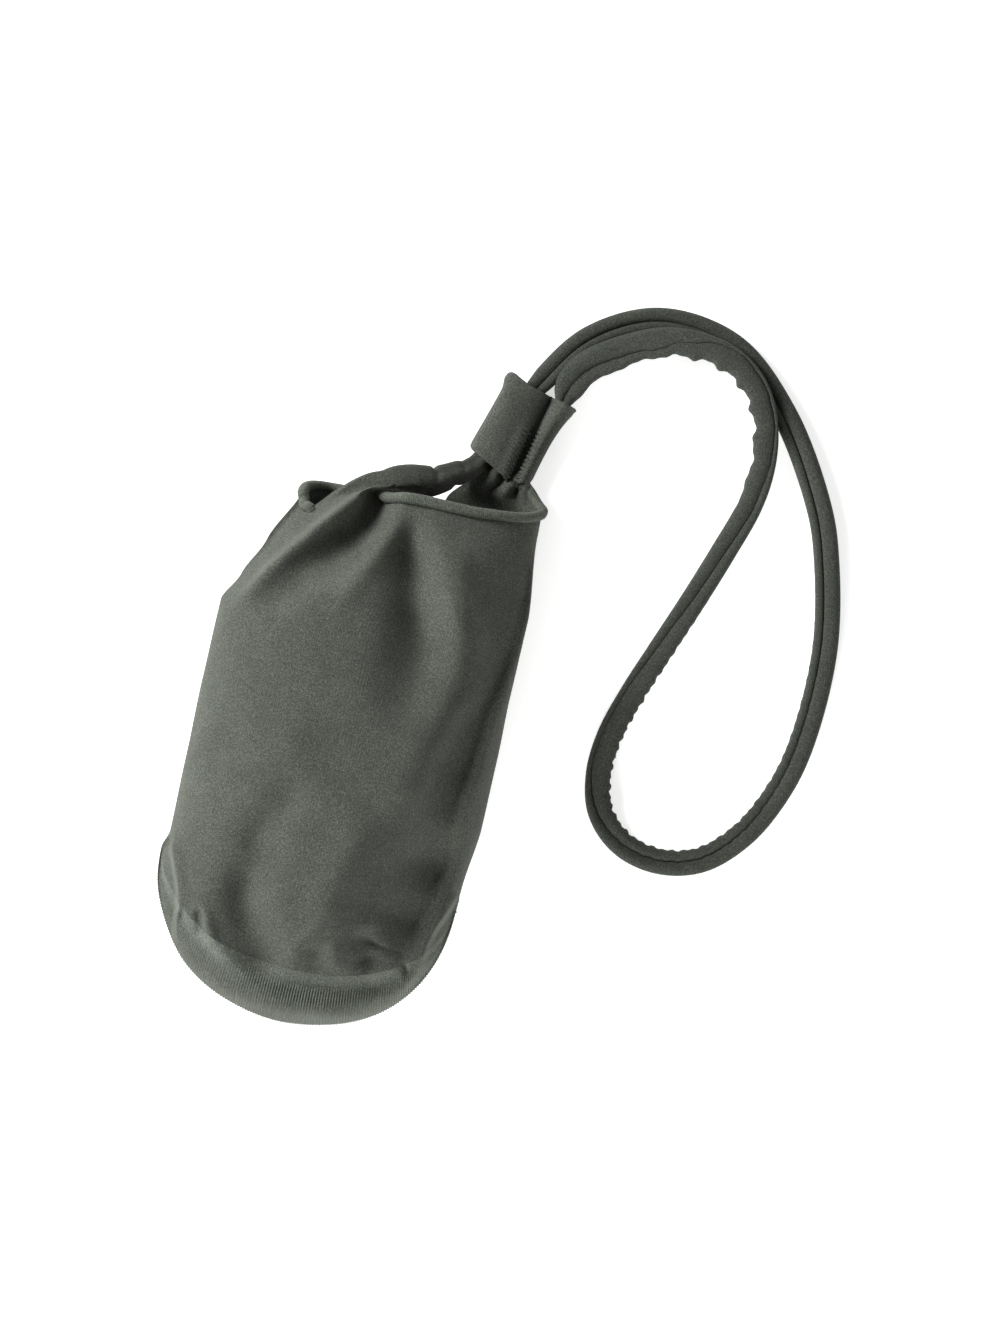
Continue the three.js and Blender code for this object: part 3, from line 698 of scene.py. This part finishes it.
print("base of", base_columns, "columns and", base_rows, "rows")

# %% Make the base
bm = bmesh.new()
rib_layer = bm.verts.layers.float.new("rib")
bmesh.ops.create_grid(bm, x_segments=base_columns - 1, y_segments=base_rows - 1, size=1)
rows = [[None] * base_columns for _ in range(base_rows)]
for vertex in bm.verts:
    c = round((vertex.co.x + 1) / 2 * (base_columns - 1))
    r = round((vertex.co.y + 1) / 2 * (base_rows - 1))
    rows[r][c] = vertex
    vertex[rib_layer] = rib_strength[r, c]
    vertex.co = base_places[r, c]
column_run = np.arange(base_columns) * outline_length / (base_columns - 1)
write_map(bm, rows, column_run, np.linspace(0, 0.3, base_rows), False)
face_outward(bm, (0, 0.05, 0.05))
base = finished("ribbed_base", bm)
thicken(base, wall_thickness)
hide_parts("base_panel")

# %% [markdown]
# ## The piping
# Each opening of the mouth is bound with a strip of rib rolled round the cloth's edge, about 7 mm
# thick. A round tube along the rim, with a fine ridge for every rib that crosses it, wraps the edge.

# %% Piping along the rim
piping_radius = 3.7 * mm
piping_pitch = 1.35 * mm
piping_sides = 20


def piping(name, points, taper_start, taper_end):
    """A rolled binding through given points, thinner at its two ends."""
    _, length = smooth_path(points, 10)
    count = round(length / piping_pitch) * 3 + 1
    line, _ = smooth_path(points, count)
    forward = np.gradient(line, axis=0)
    forward /= np.linalg.norm(forward, axis=1)[:, None]
    side = np.cross(forward, (0, 0, 1))
    side /= np.linalg.norm(side, axis=1)[:, None]
    top = np.cross(side, forward)
    run = np.linspace(0, length, count)
    radius = piping_radius * (1 + 0.05 * np.sin(run / (29 * mm)) + 0.03 * np.sin(run / (9 * mm)))
    radius += 0.09 * mm * np.where(np.arange(count) % 3 == 0, 1, -0.5)
    radius *= taper_start + (1 - taper_start) * ease(run, 0, 6 * mm) ** 0.5
    radius *= taper_end + (1 - taper_end) * ease(length - run, 0, 14 * mm)
    angle = np.arange(piping_sides) * 2 * math.pi / piping_sides
    rings = (
        line[:, None]
        + radius[:, None, None] * np.cos(angle)[:, None] * side[:, None]
        + radius[:, None, None] * np.sin(angle)[:, None] * top[:, None]
    )
    rings[..., 2] = np.maximum(rings[..., 2], 0.3 * mm)
    return tube(name, rings)


def rim_points(turns, beyond):
    """Points a little beyond the rim of the wall at some places round it."""
    turns = np.array(turns, float)
    rim = cloth_places(np.full(turns.shape, 2.0), turns)
    slope = rim - cloth_places(np.full(turns.shape, 1.97), turns)
    slope /= np.linalg.norm(slope, axis=1)[:, None]
    return rim + slope * beyond


edge_wrap = 2.6 * mm
right_rim = rim_points([97, 90, 80, 68, 56, 44, 32, 20, 10, 0, -8], edge_wrap)
right_rim[:, 2] += 1.6 * mm * ease(right_rim[:, 2], 20 * mm, 40 * mm)
right_tip = np.array([(-18.5, 271, 45), (-13.5, 268.5, 48.5), (-7, 268.6, 54.5)]) * mm  # it lies before the strand
right_tail = np.array([(95.5, 286, 23), (91, 290, 16), (85.5, 295.5, 12.5), (80, 301.5, 11), (77, 307, 10)]) * mm
right_piping = piping("right_piping", np.vstack([right_tip, right_rim, right_tail]), 0.7, 0.6)
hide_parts("right_rim_binding")
left_rim = rim_points([147, 154, 162, 171, 182, 192, 204, 218, 236, 256], edge_wrap)
left_rim = np.vstack([np.array([(-44, 228, 35), (-51, 236, 37)]) * mm, left_rim])  # it comes out from under the ridge
left_rim[:, 2] = np.maximum(left_rim[:, 2], piping_radius)
left_piping = piping("left_piping", left_rim, 0.9, 0.7)
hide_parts("left_rim_binding")

# %% [markdown]
# ## The keeper
# The keeper is a short sleeve of thicker knit that both strands pass through. A line of stitches
# parts it into a wide and a narrow channel, so its outline is a figure 8 lying on its side. One ring
# with that outline is extruded along the sleeve, slanted at its lower end, rolled at its edges, and
# puckered beside the stitches.

# %% Sizes of the keeper, as the solid has them
sleeve_length = 62 * mm
sleeve_start = np.array([51.4, 275 + 34, 0]) * mm
sleeve_turn = math.radians(78)
sleeve_groove = 17.5 * mm
narrow_width = 14.5 * mm
sleeve_flare = 8 * mm
lower_end_share = 0.26
lower_spread_share = 0.12
sleeve_wall = 2.2 * mm
sleeve_outline = [
    (-17.4, 6), (-17.5, 11), (-15.0, 16.4), (-9.0, 19.3), (-1, 19.6), (7, 17.8), (12.6, 14.8),
    (16.0, 10.8), (17.6, 7.8), (19.2, 10.8), (21.5, 14.6), (25, 16.7), (28.8, 14.6), (31.6, 9),
    (31, 4), (27.5, 1.2), (18, 0.9), (8, 0.8), (-4, 0.8), (-12, 1.0), (-16, 2.6),
]
sleeve_rows = 130

# %% Rings of the keeper
outline, _ = smooth_path(np.array(sleeve_outline) * mm, 150, closed=True)
tangent = np.roll(outline, -1, axis=0) - np.roll(outline, 1, axis=0)
tangent /= np.linalg.norm(tangent, axis=1)[:, None]
outward = np.stack([-tangent[:, 1], tangent[:, 0]], axis=1)
way = np.linspace(0, 1, sleeve_rows)[:, None]
top_face = ease(outward[:, 1], 0.0, 0.4)

stitch_pitch = 2.9 * mm
from_groove = outline[:, 0] - sleeve_groove
beside_groove = np.exp(-((from_groove / (7 * mm)) ** 2)) * (1 - np.exp(-((from_groove / (1.2 * mm)) ** 2)))
rows_of_puckers = np.sin(way * sleeve_length / stitch_pitch * 2 * math.pi + np.sign(from_groove) * 1.2 + from_groove / (1.6 * mm))
rows_of_puckers = rows_of_puckers * (0.65 + 0.35 * np.sin(from_groove * 2 * math.pi / (3.6 * mm) + 9 * way))
pucker = 1.5 * mm * rows_of_puckers * beside_groove * top_face * (1 - ease(way, 0.52, 0.7))
lip = 1.1 * mm * (np.exp(-(((way - 0.02) / 0.03) ** 2)) + np.exp(-(((0.985 - way) / 0.025) ** 2)))
soft = 0.5 * mm * np.sin(way * 5 + outline[:, 0] / (7 * mm)) * top_face
fill = 2.4 * mm * np.exp(-(((from_groove + 6.5 * mm) / (4 * mm)) ** 2)) * (1 - ease(way, 0.35, 0.8)) * top_face
swell = pucker + lip + soft + fill - 0.4 * mm
across = outline[:, 0] + outward[:, 0] * swell
height = outline[:, 1] + outward[:, 1] * swell

beyond = np.maximum(across - sleeve_groove, 0)
spread = lower_spread_share * (1 - 2 * way) * np.minimum(across, 0)
flare_left = 3 * mm * ease(way, 0.72, 0.97) ** 2 * ease(-across, 0, 17 * mm)
placed_across = across + spread + sleeve_flare * (beyond / narrow_width) * way**4 - flare_left
to_end = np.minimum(way, 1 - way) * sleeve_length
corner = 3.4 * mm * np.maximum(1 - to_end / (6 * mm), 0) ** 2
placed_across += corner * (ease(-across, 6 * mm, 17 * mm) - ease(beyond, 6 * mm, narrow_width))
slant = lower_end_share * (beyond - np.minimum(across, sleeve_groove)) * (1 - way)
slant = slant + 3.5 * mm * ease(-across, -4 * mm, 16 * mm) * way**4  # the far end's left corner stands out
sleeve_ahead = np.array([math.cos(sleeve_turn), math.sin(sleeve_turn), 0])
sleeve_right = np.array([math.sin(sleeve_turn), -math.cos(sleeve_turn), 0])
sleeve_places = (
    sleeve_start
    + (sleeve_length * way + slant)[:, :, None] * sleeve_ahead
    + placed_across[:, :, None] * sleeve_right
    + np.maximum(height, 0.2 * mm)[:, :, None] * np.array([0, 0, 1])
)

# %% Make the keeper
keeper = tube("knit_keeper", sleeve_places, caps=False)
thicken(keeper, sleeve_wall)
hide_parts("keeper_sleeve")

# %% [markdown]
# ### Stitches on the keeper
# Short bars of thread zigzag along both sides of the groove over the lower part of the sleeve. Each
# bar is a thin round cord laid on the knit.

# %% Zigzag bars of thread
thread_radius = 0.34 * mm
bars_on_a_side = 17


def on_sleeve(across_place, way_place, lift):
    """A point on the upper face of the keeper."""
    face = np.where(outward[:, 1] > 0.05)[0]
    column = face[np.abs(outline[face, 0] - across_place).argmin()]
    row = way_place * (sleeve_rows - 1)
    low = min(int(row), sleeve_rows - 2)
    point = sleeve_places[low, column] * (low + 1 - row) + sleeve_places[low + 1, column] * (row - low)
    return point + np.array([0, 0, lift])


thread_data = bpy.data.curves.new("keeper_thread", "CURVE")
thread_data.dimensions = "3D"
thread_data.bevel_depth = thread_radius
thread_data.bevel_resolution = 2
thread_data.use_fill_caps = True
for side, inner, outer in ((-1, 2.2, 6.6), (1, 2.2, 6.2)):
    for k in range(bars_on_a_side):
        place = 0.03 + 0.6 * k / bars_on_a_side
        lean = 0.014 * (1 if k % 2 else -1)
        bar = thread_data.splines.new("POLY")
        bar.points.add(4)
        for i, share in enumerate(np.linspace(0, 1, 5)):
            reach = sleeve_groove + side * (inner + (outer - inner) * share) * mm
            lift = (0.25 if 0 < i < 4 else -0.35) * mm
            bar.points[i].co = (*on_sleeve(reach, place + lean * (share - 0.5) * 2, lift), 1)
keeper_thread = bpy.data.objects.new("keeper_thread", thread_data)
bpy.context.scene.collection.objects.link(keeper_thread)
print(2 * bars_on_a_side, "bars of thread")

# %% [markdown]
# ## Finishes
# Everything is one cotton jersey, knitted of grey and green-black fibres spun together, so the colour
# is mottled at the size of a stitch and the surface has a soft nap that catches light at its edges.
# One function makes the material, with its rib and knit sizes in millimetres; it also paints shade into the colour
# where the cloth is gathered and between the ribs.

# %% Adding nodes
def linear(hex_colour):
    """An sRGB hex colour as linear RGBA."""
    parts = [(hex_colour >> shift & 255) / 255 for shift in (16, 8, 0)]
    return (*[p / 12.92 if p <= 0.04045 else ((p + 0.055) / 1.055) ** 2.4 for p in parts], 1)


def add_node(tree, kind, inputs=None, **settings):
    """Adds a node with its settings; inputs are values or the sockets to link from."""
    made = tree.nodes.new(kind)
    for name, value in settings.items():
        setattr(made, name, value)
    for name, value in (inputs or {}).items():
        if isinstance(value, bpy.types.NodeSocket):
            tree.links.new(value, made.inputs[name])
        else:
            made.inputs[name].default_value = value
    return made


# %% Cotton jersey, knitted, heathered and softly napped
def jersey(name, dark, middle, light, rib_across=0.0, rib_along=0.0):
    """Heathered jersey. rib_across is the pitch of ribs that run along the cloth, rib_along of ribs across it."""
    material = bpy.data.materials.new(name)
    material.use_nodes = True
    tree = material.node_tree
    tree.nodes.clear()
    coordinates = add_node(tree, "ShaderNodeTexCoord")
    place = coordinates.outputs["Object"]
    # fibres: specks about 1 mm across, the size that still shows from above
    specks = add_node(tree, "ShaderNodeTexNoise", {"Vector": place, "Scale": 1 / (1.1 * mm), "Detail": 3.0, "Roughness": 0.7})
    clouds = add_node(tree, "ShaderNodeTexNoise", {"Vector": place, "Scale": 1 / (28 * mm), "Detail": 3.0, "Roughness": 0.6})
    blend = add_node(tree, "ShaderNodeMath", {0: specks.outputs["Fac"], 1: 0.86}, operation="MULTIPLY")
    mixed = add_node(tree, "ShaderNodeMath", {0: clouds.outputs["Fac"], 1: 0.14, 2: blend.outputs[0]}, operation="MULTIPLY_ADD")
    ramp = add_node(tree, "ShaderNodeValToRGB", {"Fac": mixed.outputs[0]})
    ramp.color_ramp.elements[0].position = 0.3
    ramp.color_ramp.elements[0].color = linear(dark)
    ramp.color_ramp.elements[1].position = 0.7
    ramp.color_ramp.elements[1].color = linear(light)
    ramp.color_ramp.elements.new(0.5).color = linear(middle)
    # painted shade: where the cloth is gathered into the strands and pleats, its colour is darkened to stand in for
    # the shade that falls there
    gathered_painted_shade = add_node(tree, "ShaderNodeAttribute", attribute_name="gathered_painted_shade")
    painted_shade_scale = add_node(tree, "ShaderNodeMapRange", {"Value": gathered_painted_shade.outputs["Fac"], "To Min": 1.0, "To Max": 0.6})
    tone = add_node(tree, "ShaderNodeVectorMath", {0: ramp.outputs["Color"]}, operation="SCALE")
    tree.links.new(painted_shade_scale.outputs[0], tone.inputs["Scale"])
    colour = tone.outputs[0]
    # knit: columns of stitches 1.5 mm apart, coarser than the real 1 mm so that they show
    spot = add_node(tree, "ShaderNodeSeparateXYZ", {"Vector": coordinates.outputs["UV"]})
    wales = add_node(tree, "ShaderNodeMath", {0: spot.outputs["X"], 1: 2 * math.pi / (1.5 * mm)}, operation="MULTIPLY")
    wale = add_node(tree, "ShaderNodeMath", {0: wales.outputs[0]}, operation="SINE")
    courses = add_node(tree, "ShaderNodeMath", {0: spot.outputs["Y"], 1: 2 * math.pi / (1.2 * mm)}, operation="MULTIPLY")
    slanted = add_node(tree, "ShaderNodeMath", {0: wale.outputs[0], 1: 1.6, 2: courses.outputs[0]}, operation="MULTIPLY_ADD")
    course = add_node(tree, "ShaderNodeMath", {0: slanted.outputs[0]}, operation="SINE")
    knit = add_node(tree, "ShaderNodeMath", {0: course.outputs[0], 1: wale.outputs[0]}, operation="ADD")
    fuzz = add_node(tree, "ShaderNodeMath", {0: specks.outputs["Fac"], 1: 3.0, 2: knit.outputs[0]}, operation="MULTIPLY_ADD")
    bump = add_node(tree, "ShaderNodeBump", {"Height": fuzz.outputs[0], "Strength": 0.22, "Distance": 0.25 * mm})
    normal = bump.outputs["Normal"]
    for pitch, axis in ((rib_across, "X"), (rib_along, "Y")):
        if pitch:
            turns = add_node(tree, "ShaderNodeMath", {0: spot.outputs[axis], 1: 2 * math.pi / pitch}, operation="MULTIPLY")
            ridge = add_node(tree, "ShaderNodeMath", {0: turns.outputs[0]}, operation="COSINE")
            low = add_node(tree, "ShaderNodeMapRange", {"Value": ridge.outputs[0], "From Min": -1.0, "From Max": 0.6, "To Min": 1.0, "To Max": 0.0})
            shade = low.outputs[0]
            if axis == "X":
                faded = add_node(tree, "ShaderNodeAttribute", attribute_name="rib")
                shade = add_node(tree, "ShaderNodeMath", {0: shade, 1: faded.outputs["Fac"]}, operation="MULTIPLY").outputs[0]
            # painted shade: the colour is darkened between the ribs, in the grooves where shade falls; the bump gives
            # the ribs their real relief
            weight = add_node(tree, "ShaderNodeMath", {0: shade, 1: 0.3}, operation="MULTIPLY")
            groove = add_node(tree, "ShaderNodeMix", {"Factor": weight.outputs[0], "A": colour, "B": linear(dark)}, data_type="RGBA")
            groove.inputs[6].default_value = linear(middle)
            tree.links.new(colour, groove.inputs[6])
            groove.inputs[7].default_value = linear(dark)
            colour = groove.outputs[2]
            ribs = add_node(tree, "ShaderNodeBump", {"Height": shade, "Strength": 0.5, "Distance": 0.3 * mm, "Normal": normal}, invert=True)
            normal = ribs.outputs["Normal"]
    surface = add_node(tree, "ShaderNodeBsdfPrincipled", {
        "Base Color": colour, "Normal": normal, "Roughness": 0.92, "IOR": 1.45,
        "Specular IOR Level": 0.25, "Sheen Weight": 0.1, "Sheen Roughness": 0.45,
    })
    surface.inputs["Sheen Tint"].default_value = linear(0xD5DAD0)
    output = add_node(tree, "ShaderNodeOutputMaterial", {"Surface": surface.outputs["BSDF"]})
    return material


plain_jersey = jersey("cotton_jersey_napped", 0x2E312C, 0x484B45, 0x666A61)
# the strap's copy of the jersey has darker tones than the plain one
rolled_jersey = jersey("cotton_jersey_rolled", 0x262824, 0x3C3F3A, 0x565A52)
# the rib knit is the plain jersey's yarn in lighter tones: painted light for the bright band of the base
ribbed_jersey_painted_light = jersey("cotton_rib_knit_painted_light", 0x363933, 0x575B54, 0x7A7F75, rib_across=rib_pitch)
piping_jersey = jersey("cotton_rib_binding", 0x343731, 0x555951, 0x757A70, rib_along=piping_pitch)
thread_cotton = jersey("cotton_thread_twisted", 0x3A3E38, 0x575C54, 0x787D74)

for piece, material in (
    (wall, plain_jersey), (base, ribbed_jersey_painted_light), (right_piping, piping_jersey), (left_piping, piping_jersey),
    (keeper, plain_jersey), (keeper_thread, thread_cotton), (strap, rolled_jersey),
):
    piece.data.materials.append(material)
    print(piece.name, "is", material.name)

# %% [markdown]
# ## Floor and light
# A pale floor just under the bag, one large soft light from the upper left as in the photograph, a
# low one from the near end for the bright band of the base, a weak one from the right for the strip
# along that side, and a pale sky that fills the rest.

# %% Floor
bm = bmesh.new()
bmesh.ops.create_grid(bm, x_segments=1, y_segments=1, size=3)
floor = finished("floor", bm)
floor.data.transform(Matrix.Translation((0, 0, -0.4 * mm)))
floor_paper = bpy.data.materials.new("matt_paper")
floor_paper.use_nodes = True
floor_paper.node_tree.nodes["Principled BSDF"].inputs["Base Color"].default_value = linear(0xF6F6F4)
floor_paper.node_tree.nodes["Principled BSDF"].inputs["Roughness"].default_value = 0.9
floor_paper.node_tree.nodes["Principled BSDF"].inputs["Emission Color"].default_value = linear(0xFFFFFF)
floor_paper.node_tree.nodes["Principled BSDF"].inputs["Emission Strength"].default_value = 0.62
floor.data.materials.append(floor_paper)

# %% Lights
def soft_light(name, place, size, power):
    """A square soft light that faces the middle of the bag."""
    data = bpy.data.lights.new(name, "AREA")
    data.size = size
    data.energy = power
    light = bpy.data.objects.new(name, data)
    light.location = place
    aim = Vector((0.06, 0.16, 0.05)) - Vector(place)
    light.rotation_euler = aim.to_track_quat("-Z", "Y").to_euler()
    bpy.context.scene.collection.objects.link(light)
    return light


key_light = soft_light("key_light", (-1.55, 0.8, 1.0), 0.8, 64)
low_light = soft_light("low_light", (0.0, -1.9, 0.75), 0.8, 48)
edge_light = soft_light("edge_light", (1.7, 0.3, 0.6), 0.7, 7)
world = bpy.data.worlds.new("studio")
world.use_nodes = True
world.node_tree.nodes["Background"].inputs["Color"].default_value = (1, 1, 1, 1)
world.node_tree.nodes["Background"].inputs["Strength"].default_value = 0.2
bpy.context.scene.world = world
bpy.context.scene.view_settings.view_transform = "Standard"
print("light from the upper left and the right")

# %% [markdown]
# ## Riding on the bodies
# Each piece of the bag moves with the bag's body of the imported model, and the keeper and its thread
# with the keeper's. The strap's place is baked into its mesh.

# %% Ride, and bake the strap's place
for piece in (wall, base, right_piping, left_piping):
    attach(piece, "bag")
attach(keeper, "keeper")
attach(keeper_thread, "keeper")
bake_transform(strap)
